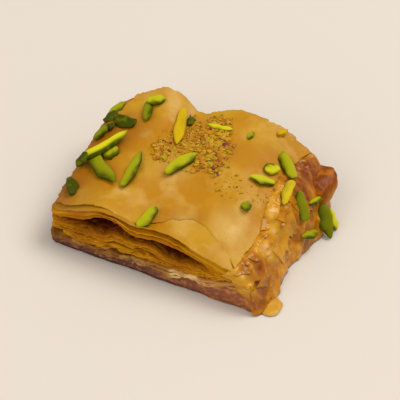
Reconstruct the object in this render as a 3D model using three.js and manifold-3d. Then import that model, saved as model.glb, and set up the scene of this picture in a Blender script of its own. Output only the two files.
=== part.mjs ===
// A baklava piece: one rectangle cut from a tray of layered pastry, in millimetres, +Z up.
// The origin is the centre of its footprint on the surface it rests on.
// +X runs along the front cut, +Y towards the back cut. The +X end is the torn, syrup-soaked one.
//
// Three solids lie on each other, a hair apart:
//   bottom_sheets  the thin soaked sheets under everything, with a tongue at the front right corner
//   nut_filling    the dense nut and syrup layer, with a lump that shows at the back right corner
//   flaky_stack    the pile of crisp sheets, fanned and ragged at its edges, crowned on top
import * as THREE from "three";
import { mergeVertices } from "three/addons/utils/BufferGeometryUtils.js";
import Module from "manifold-3d";

// ---- Driving dimensions ----
const PIECE_LENGTH = 66; // along the front cut
const PIECE_DEPTH = 54; // from the front cut to the back cut
const CORNER_RADIUS = 2.5;
const SHEETS_THICKNESS = 1.3; // the soaked sheets at the bottom
const FILLING_LEFT = 1.5; // thickness of the nut layer at the left cut
const FILLING_RIGHT = 4.8; // and at the torn end
const FRONT_HEIGHT = 13.4; // top of the stack above the table, along the front cut
const FRONT_STEP = 2.3; // how much further forward the front cut reaches at its foot
const CROWN_RISE = 4.9; // how far the top climbs from the front cut to the middle
const TOUCH_GAP = 0.3; // between solids that lie on each other
const OUTLINE_POINTS = 92;

// ---- Sizes worked out from them ----
const HALF_LENGTH = PIECE_LENGTH / 2;
const HALF_DEPTH = PIECE_DEPTH / 2;
const FILLING_BOTTOM = SHEETS_THICKNESS + TOUCH_GAP;

// ---- Small helpers ----
const mix = (a, b, t) => a + (b - a) * t;

function smooth(t) {
  const s = THREE.MathUtils.clamp(t, 0, 1);
  return s * s * (3 - 2 * s);
}

/** 1 between from and to, fading to 0 over the given margin on both sides. */
const between = (v, from, to, margin) =>
  smooth((v - from) / margin + 1) * smooth((to - v) / margin + 1);

/** 1 at 0, fading to about a third at the given width. */
const bell = (v, width) => Math.exp(-((v / width) ** 2));

/** Top of the nut layer, which thickens from the left cut to the torn end. */
const fillingTop = (x) =>
  FILLING_BOTTOM +
  mix(FILLING_LEFT, FILLING_RIGHT, smooth((x + HALF_LENGTH) / PIECE_LENGTH));

/** A repeatable unevenness from -1 to 1 along the outline, a different one for each seed. */
function unevenness(share, seed) {
  const turn = 2 * Math.PI * share;
  return (
    0.5 * Math.sin(7 * turn + 2.1 * seed) +
    0.3 * Math.sin(13 * turn + 5.3 * seed) +
    0.2 * Math.sin(23 * turn + 1.7 * seed)
  );
}

// ---- Outlines ----
/** The cut rectangle, counter-clockwise from the front left, as points with their outward normal. */
function cutOutline() {
  const r = CORNER_RADIUS;
  const [x, y] = [HALF_LENGTH, HALF_DEPTH];
  const shape = new THREE.Shape();
  shape.moveTo(-x + r, -y);
  shape.lineTo(x - r, -y);
  shape.absarc(x - r, -y + r, r, -Math.PI / 2, 0);
  shape.lineTo(x, y - r);
  shape.absarc(x - r, y - r, r, 0, Math.PI / 2);
  shape.lineTo(-x + r, y);
  shape.absarc(-x + r, y - r, r, Math.PI / 2, Math.PI);
  shape.lineTo(-x, -y + r);
  shape.absarc(-x + r, -y + r, r, Math.PI, 1.5 * Math.PI);
  return Array.from({ length: OUTLINE_POINTS }, (_, i) => {
    const share = i / OUTLINE_POINTS;
    const p = shape.getPointAt(share);
    const t = shape.getTangentAt(share);
    return { x: p.x, y: p.y, nx: t.y, ny: -t.x, share };
  });
}

const OUTLINE = cutOutline();

/** One ring of a solid: the cut outline moved in or out along its normal, then placed by a function. */
const ring = (inset, place) =>
  OUTLINE.map((p) => {
    const d = inset(p);
    return place(p.x - p.nx * d, p.y - p.ny * d, p);
  });

/** How far a point of the front cut moves forward at a height share of the cut. */
const frontStep = (p, up) => FRONT_STEP * (1 - up) * smooth(-p.ny);

// ---- From rings to a closed solid ----
/** Closes a pile of equal rings, from the underside to the top, with a point at each end. */
function solidOfRings(rings, lowMiddle, highMiddle) {
  const n = rings[0].length;
  const points = [...rings.flat(), lowMiddle, highMiddle];
  const [low, high] = [points.length - 2, points.length - 1];
  const index = [];
  for (let i = 0; i < n; i++) {
    const j = (i + 1) % n;
    for (let k = 0; k + 1 < rings.length; k++) {
      const [a, b] = [k * n, (k + 1) * n];
      index.push(a + i, a + j, b + j, a + i, b + j, b + i);
    }
    const last = (rings.length - 1) * n;
    index.push(low, j, i, high, last + i, last + j);
  }
  const geometry = new THREE.BufferGeometry();
  geometry.setAttribute(
    "position",
    new THREE.Float32BufferAttribute(points.flatMap((p) => p.toArray()), 3),
  );
  geometry.setIndex(index);
  geometry.computeVertexNormals();
  return geometry;
}

// ---- Joining two solids ----
const wasm = await Module();
wasm.setup();

/** A three.js geometry as a manifold-3d solid. */
function toManifold(geometry) {
  const bare = geometry.clone();
  bare.deleteAttribute("normal");
  if (bare.getAttribute("uv")) bare.deleteAttribute("uv");
  const merged = mergeVertices(bare);
  return new wasm.Manifold(
    new wasm.Mesh({
      numProp: 3,
      vertProperties: merged.getAttribute("position").array,
      triVerts: new Uint32Array(merged.index.array),
    }),
  );
}

/** And back again. */
function toGeometry(solid) {
  const mesh = solid.getMesh();
  const geometry = new THREE.BufferGeometry();
  geometry.setAttribute(
    "position",
    new THREE.BufferAttribute(new Float32Array(mesh.vertProperties), 3),
  );
  geometry.setIndex(new THREE.BufferAttribute(mesh.triVerts, 1));
  geometry.computeVertexNormals();
  return geometry;
}

const joined = (a, b) => toGeometry(toManifold(a).add(toManifold(b)));

// The torn end's outline: it draws in at the front and bulges towards the back.
const END_HOLLOW = { y: -8, wide: 6, depth: 1.2 };
const END_BULGE = { y: 13, wide: 11, reach: 3 };

function tornEdge(p) {
  const hollow = END_HOLLOW.depth * bell(p.y - END_HOLLOW.y, END_HOLLOW.wide);
  const bulge = END_BULGE.reach * bell(p.y - END_BULGE.y, END_BULGE.wide);
  return smooth(p.nx) * (hollow - bulge);
}

// ---- bottom_sheets ----
// The soaked tongue of pastry that slides out at the front right corner.
const TONGUE = { x: 31.2, y: -22.8, long: 4.7, wide: 4, thick: 0.9 };

function bottomSlab() {
  const edge = (slack) => (p) =>
    slack + 0.35 * unevenness(p.share, 1) + tornEdge(p);
  const at = (z) => (x, y, p) => new THREE.Vector3(x, y - frontStep(p, 0), z);
  return solidOfRings(
    [
      ring(edge(0.5), at(0)),
      ring(edge(0.1), at(0.4)),
      ring(edge(0.4), at(SHEETS_THICKNESS)),
    ],
    new THREE.Vector3(0, 0, 0),
    new THREE.Vector3(0, 0, SHEETS_THICKNESS),
  );
}

/** The tongue: a flat round wafer that lies on the table, half under the slab's corner. */
function cornerTongue() {
  const rim = 0.3;
  const profile = [
    [0, 0],
    [1 - rim / TONGUE.long, 0],
    [1, TONGUE.thick / 2],
    [1 - rim / TONGUE.long, TONGUE.thick],
    [0, TONGUE.thick],
  ].map(([r, z]) => new THREE.Vector2(r, z));
  const wafer = new THREE.LatheGeometry(profile, 28);
  wafer.rotateX(Math.PI / 2);
  wafer.scale(TONGUE.long, TONGUE.wide, 1);
  wafer.rotateZ(-Math.PI / 5);
  wafer.translate(TONGUE.x, TONGUE.y, 0);
  return wafer;
}

const bottomSheets = () => joined(bottomSlab(), cornerTongue());

// ---- nut_filling ----
const LUMP = { x: 30.7, y: 20.8, length: 9.4, depth: 14.4, height: 8.4 };
const LUMP_SUNK = 3.2; // how deep the lump is sunk into the slab
const LUMP_SQUARENESS = 0.5; // 1 is an ellipsoid, towards 0 a box
const LUMP_DENT = 0.05; // share of its size by which its faces wave in and out
const LUMP_CLIMB = 0.7; // it stands higher towards the back

function fillingSlab() {
  const edge = (slack) => (p) =>
    slack + 0.45 * unevenness(p.share, 2) + tornEdge(p);
  const at = (up) => (x, y, p) =>
    new THREE.Vector3(
      x,
      y - frontStep(p, 0.3 * up),
      mix(FILLING_BOTTOM, fillingTop(x), up),
    );
  const topRings = [0.85, 0.6, 0.3].map((share) =>
    ring(edge(1), (x, y, p) => at(1)(x * share, y * share, p)),
  );
  return solidOfRings(
    [
      ring(edge(0.9), at(0)),
      ring(edge(0.4), at(0.2)),
      ring(edge(0.3), at(0.7)),
      ring(edge(1), at(1)),
      ...topRings,
    ],
    new THREE.Vector3(0, 0, FILLING_BOTTOM),
    new THREE.Vector3(0, 0, fillingTop(0)),
  );
}

/** The lump of caramelised filling: a squarish pebble with dents, sunk into the slab. */
function fillingLump() {
  const pebble = new THREE.IcosahedronGeometry(1, 7);
  const p = pebble.getAttribute("position");
  const squared = (v) => Math.sign(v) * Math.abs(v) ** LUMP_SQUARENESS;
  for (let i = 0; i < p.count; i++) {
    const [x, y, z] = [p.getX(i), p.getY(i), p.getZ(i)];
    const wave = Math.sin(5 * x + 3 * z) * Math.sin(4 * y - 2 * z);
    const half = 0.5 * (1 + LUMP_DENT * wave);
    p.setXYZ(
      i,
      squared(x) * half * LUMP.length,
      squared(y) * half * LUMP.depth,
      squared(z) * half * LUMP.height + LUMP_CLIMB * y,
    );
  }
  pebble.translate(
    LUMP.x,
    LUMP.y,
    fillingTop(LUMP.x) + LUMP.height / 2 - LUMP_SUNK,
  );
  return pebble;
}

const nutFilling = () => joined(fillingSlab(), fillingLump());

// ---- flaky_stack ----
const LEAVES = 6; // groups of sheets that part from each other at the cut
const LEAF_SHARE = 0.68; // of a leaf's pitch that is pastry, the rest is gap
const GAP_DEPTH = 1.5;
const POCKET_DEPTH = 3.2; // how far the front cut gapes under the top leaf
const TORN_CORNER = { back: 3.2, wide: 7 }; // the upper leaves' back left corner
const NOTCH = { x: -11.5, back: 2.5, wide: 4 }; // in the back edge, beside the lobe
const END_LOW_FRONT = HALF_LENGTH - 0.4; // where the lowest leaf ends on the right, at the front
const END_LOW_BACK = 25.2; // and beside the lump of filling
const END_TOP_FRONT = 19.5; // where the top leaf ends on the right, at the front
const END_TOP_BACK = 24.6;

// Rises and hollows of the top, each {x, y, wide, deep, rise}.
const SWELLS = [
  { x: 10, y: 3, wide: 15, deep: 13, rise: 2.4 }, // the crown, right of the middle
  { x: -21, y: 24, wide: 7, deep: 9, rise: 2.2 }, // the lifted lobe at the back left
  { x: -10, y: 22, wide: 5, deep: 9, rise: -2.6 }, // the hollow beside it
  { x: -33, y: -8, wide: 9, deep: 26, rise: -2.2 }, // the top sags towards the left cut
  { x: -20, y: -26, wide: 9, deep: 8, rise: 2.8 }, // it arches over the wide gape in the front cut
  { x: 1, y: -26, wide: 6, deep: 8, rise: 1.5 }, // and over the narrow one
  { x: 12, y: 27, wide: 13, deep: 9, rise: 1.6 }, // the curled back edge
];

function crownHeight(x, y) {
  const climb = CROWN_RISE * smooth((y + HALF_DEPTH) / (0.62 * PIECE_DEPTH));
  const swell = SWELLS.reduce(
    (sum, s) =>
      sum +
      s.rise *
        bell(x - s.x, s.wide) * bell(y - s.y, s.deep),
    0,
  );
  const drop = 4.5 * smooth((x - 12) / 18);
  return FRONT_HEIGHT + climb + swell - drop;
}

/** How far the stack reaches to the right at a height share of its wall. */
function rightEnd(y, up) {
  const back = smooth((y + 6) / 12);
  const low = mix(END_LOW_FRONT, END_LOW_BACK, back);
  const top = mix(END_TOP_FRONT, END_TOP_BACK, (y + HALF_DEPTH) / PIECE_DEPTH);
  return mix(low, top, up);
}

/** 1 for the upper leaves, 0 for the lower ones. */
const upperLeaves = (up) => smooth(2 * up - 0.8);

/** How far the upper leaves are torn back beside the lobe. */
const notch = (p, up) =>
  NOTCH.back * upperLeaves(up) * smooth(p.ny) * bell(p.x - NOTCH.x, NOTCH.wide);

/** A point of the stack's wall or, with up at 1, of its top. */
function stackPoint(x, y, up) {
  const shortened = x > 0 ? (x * rightEnd(y, up)) / HALF_LENGTH : x;
  const torn =
    TORN_CORNER.back *
    upperLeaves(up) *
    bell(x + HALF_LENGTH, TORN_CORNER.wide) *
    bell(y - HALF_DEPTH, TORN_CORNER.wide);
  const bottom = fillingTop(shortened) + TOUCH_GAP;
  const z = mix(bottom, crownHeight(shortened, y), up);
  return new THREE.Vector3(shortened + torn, y - torn, z);
}

/** How deep the front cut gapes just under the top leaf. */
function pocket(p) {
  const front = smooth(-p.ny);
  const wide = between(p.x, -21, -9, 4);
  const narrow = 0.7 * between(p.x, 7, 15, 4);
  return POCKET_DEPTH * front * Math.max(wide, narrow);
}

function flakyStack() {
  const rings = [];
  const forward = (p, up) => new THREE.Vector3(0, frontStep(p, mix(0.3, 1, up)), 0);
  const wallRing = (up, inset) =>
    rings.push(
      ring(
        (p) => inset(p) + notch(p, up),
        (x, y, p) => stackPoint(x, y, up).sub(forward(p, up)),
      ),
    );
  for (let k = 0; k < LEAVES; k++) {
    const ragged = (p) => 0.5 + 0.55 * unevenness(p.share, 3 + k);
    const underTop = k === LEAVES - 2 ? 1 : 0;
    wallRing(k / LEAVES, ragged);
    wallRing((k + LEAF_SHARE) / LEAVES, (p) => ragged(p) + underTop * pocket(p));
    if (k < LEAVES - 1) {
      wallRing(
        (k + (1 + LEAF_SHARE) / 2) / LEAVES,
        (p) => ragged(p) + GAP_DEPTH + underTop * pocket(p),
      );
    }
  }
  for (const share of [1, 0.965, 0.9, 0.8, 0.69, 0.57, 0.44, 0.3, 0.15]) {
    rings.push(
      ring(
        (p) =>
          notch(p, 1) +
          (share === 1 ? 0.3 + 0.6 * unevenness(p.share, 2 + LEAVES) : 0.6),
        (x, y) => stackPoint(x * share, y * share, 1),
      ),
    );
  }
  return solidOfRings(
    rings,
    stackPoint(0, 0, 0),
    stackPoint(0, 0, 1),
  );
}

// ---- The piece ----
const finish = (color, roughness) =>
  new THREE.MeshStandardMaterial({ color, roughness, metalness: 0 });

function part(name, geometry, material) {
  const mesh = new THREE.Mesh(geometry, material);
  mesh.name = name;
  return mesh;
}

const piece = new THREE.Group();
piece.add(
  part("bottom_sheets", bottomSheets(), finish(0xb9731f, 0.45)),
  part("nut_filling", nutFilling(), finish(0x7a4220, 0.5)),
  part("flaky_stack", flakyStack(), finish(0xc99236, 0.5)),
);

// The footprint's middle goes to the origin.
const box = new THREE.Box3().setFromObject(piece);
const middle = box.getCenter(new THREE.Vector3());
piece.position.set(-middle.x, -middle.y, -box.min.z);

export default piece;
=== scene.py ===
# %% [markdown]
# # One piece of baklava
#
# Baklava is a pile of very thin pastry sheets over a dense layer of nuts, soaked in syrup and cut in pieces.
# Three of this piece's sides are cuts, where the sheets fan apart. The right end is torn, wet and crumpled.
# The notebook works in millimetres and turns them into metres when a vertex gets its place.

import bisect
import math
import random

import bmesh
import bpy
from mathutils import Matrix, Vector, noise
from mathutils.bvhtree import BVHTree


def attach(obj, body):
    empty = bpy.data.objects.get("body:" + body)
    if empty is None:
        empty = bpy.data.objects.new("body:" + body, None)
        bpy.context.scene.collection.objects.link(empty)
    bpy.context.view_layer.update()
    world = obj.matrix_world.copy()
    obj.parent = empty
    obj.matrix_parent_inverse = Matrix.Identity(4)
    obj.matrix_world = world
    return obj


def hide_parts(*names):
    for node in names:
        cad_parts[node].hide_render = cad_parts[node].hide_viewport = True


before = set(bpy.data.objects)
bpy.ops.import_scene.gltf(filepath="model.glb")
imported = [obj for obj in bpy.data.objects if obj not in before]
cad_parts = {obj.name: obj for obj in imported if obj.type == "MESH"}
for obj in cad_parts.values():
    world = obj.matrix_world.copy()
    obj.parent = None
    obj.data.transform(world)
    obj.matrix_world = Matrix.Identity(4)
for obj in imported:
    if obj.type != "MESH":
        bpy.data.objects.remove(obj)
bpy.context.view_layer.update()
MM = 0.001
print("CAD nodes:", sorted(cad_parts))

# %% [markdown]
# ## Small helpers for shapes
#
# Food has no straight lines, so every shape here is a plain form plus a little unevenness. Steps that fade in
# softly, bell-shaped swells and a repeatable noise are enough for it. A few measured points make a curve.

# %% Mixing, fading and unevenness
SEEDS_APART = 7.31  # how far apart two seeds look into the same noise


def mix(a, b, t):
    return a + (b - a) * t


def clamp(v, low=0.0, high=1.0):
    return min(max(v, low), high)


def smooth(t):
    """0 below 0, 1 above 1, with a soft S between."""
    t = clamp(t)
    return t * t * (3 - 2 * t)


def bell(v, width):
    return math.exp(-((v / width) ** 2))


def uneven(x, y, z, size, seed):
    """A repeatable unevenness from about -1 to 1, whose bumps are about size mm long."""
    return 1.5 * noise.noise(Vector((x / size, y / size, z / size + SEEDS_APART * seed)))


def ridged(x, y, z, size, seed):
    """The same with sharp crests, as crumpled sheets have them. From 0 to 1."""
    return 1 - abs(uneven(x, y, z, size, seed))


# %% Curves through measured points
def through(points):
    """A smooth curve through (place, value) pairs, level beyond both ends."""
    places = [p[0] for p in points]

    def slope(i):
        a, b = points[max(i - 1, 0)], points[min(i + 1, len(points) - 1)]
        return (b[1] - a[1]) / (b[0] - a[0])

    def at(place):
        if place <= places[0]:
            return points[0][1]
        if place >= places[-1]:
            return points[-1][1]
        i = bisect.bisect_right(places, place) - 1
        (start, low), (stop, high) = points[i], points[i + 1]
        run = stop - start
        t = (place - start) / run
        bend = t * (1 - t) ** 2 * run * slope(i) - t * t * (1 - t) * run * slope(i + 1)
        return mix(low, high, smooth(t)) + bend

    return at


def edge_line(*points):
    """A smooth line through points of the plan, as a function of the share of its length."""
    spots = [Vector(p) for p in points]
    lengths = [0.0]
    for a, b in zip(spots, spots[1:]):
        lengths.append(lengths[-1] + (b - a).length)
    at = through(list(zip(lengths, spots)))
    return lambda share: at(share * lengths[-1])


# %% [markdown]
# ## The cut rectangle
#
# All the sheets of one piece were cut by the same knife, so their edges follow one rounded rectangle. One
# function walks round it and gives every layer the same path. The front cut leans forward at its foot.

# %% The path of the knife
LEFT, RIGHT, FRONT, BACK = -34.3, 31.7, -26.3, 27.7
CORNER = 3.0
ARC = CORNER * math.pi / 2
LENGTH = RIGHT - LEFT - 2 * CORNER
DEPTH = BACK - FRONT - 2 * CORNER
SIDES = [
    (Vector((RIGHT - CORNER, FRONT)), Vector((-1, 0)), LENGTH),
    (Vector((LEFT, FRONT + CORNER)), Vector((0, 1)), DEPTH),
    (Vector((LEFT + CORNER, BACK)), Vector((1, 0)), LENGTH),
    (Vector((RIGHT, BACK - CORNER)), Vector((0, -1)), DEPTH),
]
ROUND = 2 * LENGTH + 2 * DEPTH + 4 * ARC
THREE_CUTS = 2 * LENGTH + DEPTH + 2 * ARC


def cut(d):
    """The point d mm round the rectangle, clockwise from the front right corner, and its outward normal."""
    d %= ROUND
    for start, run, length in SIDES:
        out = Vector((-run.y, run.x))
        if d <= length:
            return start + run * d, out
        d -= length
        if d <= ARC:
            turned = out * math.cos(d / CORNER) + run * math.sin(d / CORNER)
            return start + run * length + (turned - out) * CORNER, turned
        d -= ARC
    return SIDES[0][0].copy(), Vector((0, -1))


print(f"the knife's path is {ROUND:.0f} mm round, {THREE_CUTS:.0f} mm of it cut")

# %% The lean of the front cut
FRONT_HEIGHT = 13.4
FRONT_STEP = 2.3


def lean(z, out):
    """How far forward the cut stands at a height. Only the front leans."""
    return FRONT_STEP * (1 - z / FRONT_HEIGHT) * smooth(-out.y)


print(f"the front cut's foot reaches {lean(0, Vector((0, -1))):.1f} mm forward")

# %% [markdown]
# ## The top's swells
#
# The sheets puff up in the oven. The top climbs from the front to the back, arches over two gapes in the
# front cut and lifts in a lobe at the back left. Each swell is one bell, as wide and deep as on the piece.

# %% Height of the top
RISE, RISE_RUN = 4.9, 33.5  # how far the top climbs towards the back, and over how many mm
FALL, FALL_START, FALL_RUN = 4.5, 10.7, 18  # how far it falls to the right, from which x, over how many mm
SWELLS = [  # x, y, wide, deep, rise
    (8.7, 3.7, 15, 13, 2.4),
    (-20.6, 24.7, 7, 9, 2.3),
    (-10.2, 22.7, 4.5, 8, -1.7),
    (-34.3, -7.3, 9, 26, -2.2),
    (-21.3, -25.3, 9, 8, 2.8),
    (-0.3, -25.3, 6, 8, 1.5),
    (4.2, 27.7, 10, 9, 2.2),
]


def crown(x, y):
    """Height of the pile's top, from the measured swells and a gentle relief that all its sheets share."""
    climb = RISE * smooth((y - FRONT) / RISE_RUN)
    swell = sum(rise * bell(x - cx, wide) * bell(y - cy, deep) for cx, cy, wide, deep, rise in SWELLS)
    relief = 0.32 * uneven(x, y, 0, 13, 51) + 0.12 * uneven(x, y, 0, 4.5, 52)
    return FRONT_HEIGHT + climb + swell + relief - FALL * smooth((x - FALL_START) / FALL_RUN)


def filling_top(x):
    """Height of the nut layer away from the front cut. It thickens towards the torn end."""
    return 1.6 + mix(1.5, 4.8, smooth((x - LEFT) / 66))


print(f"the top is {crown(8.7, 3.7):.1f} mm high at its middle and {crown(18, -22):.1f} at the front right")

# %% [markdown]
# ## Layers in the front cut
#
# Seen from the front, the cut has six bands: soaked sheets and nuts, pale crinkled sheets, orange leaves, a
# dark gape, a fanned lip and the top sheet. Each border between two bands is a curve along the front.

# %% Borders between the bands, as heights along x
pale_low = through([(-33, 2.1), (-24, 2.4), (-18, 1.9), (-9, 3.4), (-2, 3.0), (4.6, 2.3), (8, 4.8), (13, 3.3),
                    (17, 4.6), (26, 6.4)])
pale_top = through([(-33, 3.5), (-24, 3.6), (-14, 4.4), (-4, 4.9), (3, 5.6), (13, 6.0), (20, 7.5), (27, 7.0)])
gape_low = through([(-33, 8.4), (-27, 8.8), (-18, 8.3), (-14.5, 10), (-10, 9.8), (-4.4, 10.3), (2.8, 8.2),
                    (9, 8.9), (25, 8)])
lip_low = through([(-33, 9.6), (-24, 11.4), (-20, 13.4), (-15.5, 14.4), (-10, 12.1), (-3, 12.4), (5, 12),
                   (12, 10.2), (19, 8.6), (26, 8.4)])
lip_middle = through([(-33, 11.0), (-27, 13.0), (-19, 15.8), (-11, 15.0), (0, 15.9), (4.5, 15.0), (8, 13.5),
                      (13, 12.2), (19, 11.2), (26, 9.5)])
FADE = 9  # mm of the left cut over which the front's bands fade out


def front_share(d):
    """1 along the front cut and its left corner, fading out at the start of the left cut."""
    return smooth((LENGTH + ARC + FADE - d) / FADE)


def gape(x):
    """1 where the front cut gapes open, 0 where it is shut."""
    return smooth((lip_low(x) - gape_low(x) - 0.9) / 1.6)


print("the gapes are", [round(lip_low(x) - gape_low(x), 1) for x in (-18, 4)], "mm high")

# %% [markdown]
# ## From functions to meshes
#
# A sheet is a flat grid whose vertices a function moves into place, and Solidify gives it its thickness.
# Every vertex also carries two numbers for its material: edge, which is 1 at the cut, and tone, which moves a
# sheet between its colours, where it is riper or wetter. On several pieces they also carry painted shade and
# painted highlights.

# %% Sheets
def new_mesh():
    bm = bmesh.new()
    bm.verts.layers.float.new("edge")
    bm.verts.layers.float.new("tone")
    return bm


def layers(bm):
    """Where the vertices keep their edge and their tone."""
    return bm.verts.layers.float["edge"], bm.verts.layers.float["tone"]


def add_sheet(bm, columns, rows, place, tone=0.5):
    """Adds a grid. place(u, v) gives each vertex its point in mm and its edge value."""
    made = bmesh.ops.create_grid(bm, x_segments=columns, y_segments=rows, size=0.5)
    edge, shade = layers(bm)
    for v in made["verts"]:
        point, v[edge] = place(v.co.x + 0.5, v.co.y + 0.5)
        v[shade] = tone
        v.co = Vector(point) * MM


def into_scene(name, data):
    made = bpy.data.objects.new(name, data)
    bpy.context.scene.collection.objects.link(made)
    return made


def make_piece(name, bm, material, thickness=0.0):
    """Turns a bmesh into a smooth object that rides on the piece."""
    mesh = bpy.data.meshes.new(name)
    if not thickness:
        bmesh.ops.recalc_face_normals(bm, faces=bm.faces)
    bm.to_mesh(mesh)
    bm.free()
    mesh.shade_smooth()
    mesh.materials.append(material)
    made = into_scene(name, mesh)
    if thickness:
        wall = made.modifiers.new("Thickness", "SOLIDIFY")
        wall.thickness = thickness * MM
        wall.offset = 0
    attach(made, "root")
    print(f"{name}: {len(mesh.vertices)} vertices")
    return made


# %% Solids made of rings
def add_loft(bm, count, rings, tone=0.5):
    """Adds a closed solid through rings of count points. A ring is a function of the share of the way round.

    While it grows, the edge values hold that share, because extruded vertices keep it."""
    way, shade = layers(bm)
    verts = bmesh.ops.create_circle(bm, cap_ends=False, segments=count, radius=1)["verts"]
    for i, v in enumerate(verts):
        v[way] = i / count
        v[shade] = tone
    edges = list({e for v in verts for e in v.link_edges})
    for number, ring in enumerate(rings):
        if number:
            made = bmesh.ops.extrude_edge_only(bm, edges=edges)["geom"]
            verts = [g for g in made if isinstance(g, bmesh.types.BMVert)]
            edges = [g for g in made if isinstance(g, bmesh.types.BMEdge)]
        else:
            bmesh.ops.contextual_create(bm, geom=edges)
        for v in verts:
            v.co = Vector(ring(v[way])) * MM
    bmesh.ops.contextual_create(bm, geom=edges)
    for v in bm.verts:
        v[way] = 1.0


# %% [markdown]
# ## Nodes by hand
#
# A material is a small tree of nodes. A few helpers keep the trees readable: one adds a node with its inputs,
# others mix two colours, calculate, or turn a value into a mask.

# %% Adding nodes
def feed(tree, socket, value):
    """Links another socket to this one, or sets its value. A colour gets its alpha."""
    if isinstance(value, bpy.types.NodeSocket):
        tree.links.new(value, socket)
    else:
        socket.default_value = (*value, 1) if socket.type == "RGBA" else value


def node(tree, kind, inputs=None, **settings):
    made = tree.nodes.new("ShaderNode" + kind)
    for name, value in settings.items():
        setattr(made, name, value)
    for name, value in (inputs or {}).items():
        feed(tree, made.inputs[name], value)
    return made


def blend(tree, factor, a, b):
    """Colour a where the factor is 0, b where it is 1. The Mix node keeps its colour sockets at 6 and 7."""
    return node(tree, "Mix", {0: factor, 6: a, 7: b}, data_type="RGBA").outputs[2]


def calc(tree, operation, *values, clamped=False):
    """One Math node. Clamped, its result stays between 0 and 1."""
    return node(tree, "Math", dict(enumerate(values)), operation=operation, use_clamp=clamped).outputs[0]


def fade(tree, value, start, stop, most=1.0):
    """A mask: 0 up to where the value is start, and most from where it is stop."""
    inputs = {"Value": value, "From Min": start, "From Max": stop, "To Max": most}
    return node(tree, "MapRange", inputs).outputs["Result"]


# %% [markdown]
# ## Shared effects: patches and grain
#
# Baked dough is never one colour. Patches are soft islands from a noise whose contrast is turned up. Grain is
# the fine unevenness that catches the light on every surface, and it only goes into bump. Each is a node
# group, made once with named inputs and an output, and used in every material with its own values.

# %% The two groups
ISLANDS_FROM = 0.66  # the value of the noise above which there are islands, where Amount is 0


def new_group(name, *inputs):
    """A node group with a Vector and some float inputs, and the sockets that they arrive at."""
    tree = bpy.data.node_groups.new(name, "ShaderNodeTree")
    tree.interface.new_socket("Vector", in_out="INPUT", socket_type="NodeSocketVector")
    for socket in inputs:
        tree.interface.new_socket(socket, in_out="INPUT", socket_type="NodeSocketFloat")
    return tree, tree.nodes.new("NodeGroupInput").outputs


def put_out(tree, name, value):
    """Gives a group its one output, a float."""
    tree.interface.new_socket(name, in_out="OUTPUT", socket_type="NodeSocketFloat")
    tree.links.new(value, tree.nodes.new("NodeGroupOutput").inputs[name])


def cloudy(tree, given, detail, roughness):
    inputs = {"Vector": given["Vector"], "Scale": given["Scale"], "Detail": detail, "Roughness": roughness}
    return node(tree, "TexNoise", inputs).outputs["Fac"]


patches, given = new_group("patches", "Scale", "Amount", "Softness")
clouds = cloudy(patches, given, 3.0, 0.55)
start = calc(patches, "SUBTRACT", ISLANDS_FROM, given["Amount"])
stop = calc(patches, "ADD", start, given["Softness"])
put_out(patches, "Mask", fade(patches, clouds, start, stop))

grain, given = new_group("grain", "Scale", "Detail")
put_out(grain, "Height", cloudy(grain, given, given["Detail"], 0.6))
print("node groups:", [g.name for g in bpy.data.node_groups])


# %% Using the groups
def patchy(tree, where, scale, amount, softness):
    """A mask of soft patches. A higher scale makes smaller ones."""
    inputs = {"Vector": where, "Scale": scale, "Amount": amount, "Softness": softness}
    return node(tree, "Group", inputs, node_tree=patches).outputs[0]


def surface(tree, shader, where, colour, rough, bumps, specular, coat=0.0, coat_roughness=0.03):
    """Feeds the shader what changes over the surface, and sets what doesn't on its own sockets.

    rough is a mask with the roughness where it is 0 and where it is 1. bumps are the scale and detail of the
    grain, the strength of its bump and its depth in mm."""
    mask, low, high = rough
    scale, detail, strength, depth = bumps
    height = node(tree, "Group", {"Vector": where, "Scale": scale, "Detail": detail}, node_tree=grain)
    bump = node(tree, "Bump", {"Height": height.outputs[0], "Strength": strength, "Distance": depth * MM})
    roughness = node(tree, "MapRange", {"Value": mask, "To Min": low, "To Max": high}).outputs["Result"]
    inputs = {"Base Color": colour, "Roughness": roughness, "Normal": bump.outputs[0],
              "Specular IOR Level": specular, "Coat Weight": coat, "Coat Roughness": coat_roughness}
    for name, value in inputs.items():
        feed(tree, shader.inputs[name], value)


# %% The frame of a material
def new_material(name):
    """An empty material with a Principled shader, its Object coordinates, and the vertices' edge and tone."""
    print("material", name)
    material = bpy.data.materials.new(name)
    material.use_nodes = True
    tree = material.node_tree
    tree.nodes.clear()
    shader = node(tree, "BsdfPrincipled")
    node(tree, "OutputMaterial", {"Surface": shader.outputs[0]})
    where = node(tree, "TexCoord").outputs["Object"]
    edge = node(tree, "Attribute", attribute_name="edge").outputs["Fac"]
    tone = node(tree, "Attribute", attribute_name="tone").outputs["Fac"]
    return material, tree, shader, where, edge, tone


def two_ends(tree, mask, to_the_right, left, right):
    """Patches of two colours at the left end of the piece, which turn into two others at the right one."""
    return blend(tree, to_the_right, blend(tree, mask, *left), blend(tree, mask, *right))


# %% [markdown]
# ## Crisp pastry
#
# The top sheet is butter gold. It is paler where it has come away from the sheet below, partly with painted
# sheen, and browner in the thin toasted line along its edges and in a syrup stain round the crumbs. A painted
# highlight lights its fold at the front right, and painted shade darkens its left part and the line along the
# crease.

# %% Material of the top sheets
GOLD = (0.51, 0.29, 0.010)
DEEP_GOLD = (0.46, 0.21, 0.0005)
PALE_GOLD = (0.62, 0.42, 0.12)
TOAST = (0.32, 0.12, 0.001)
SHADED = (0.29, 0.098, 0.0002)

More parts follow.
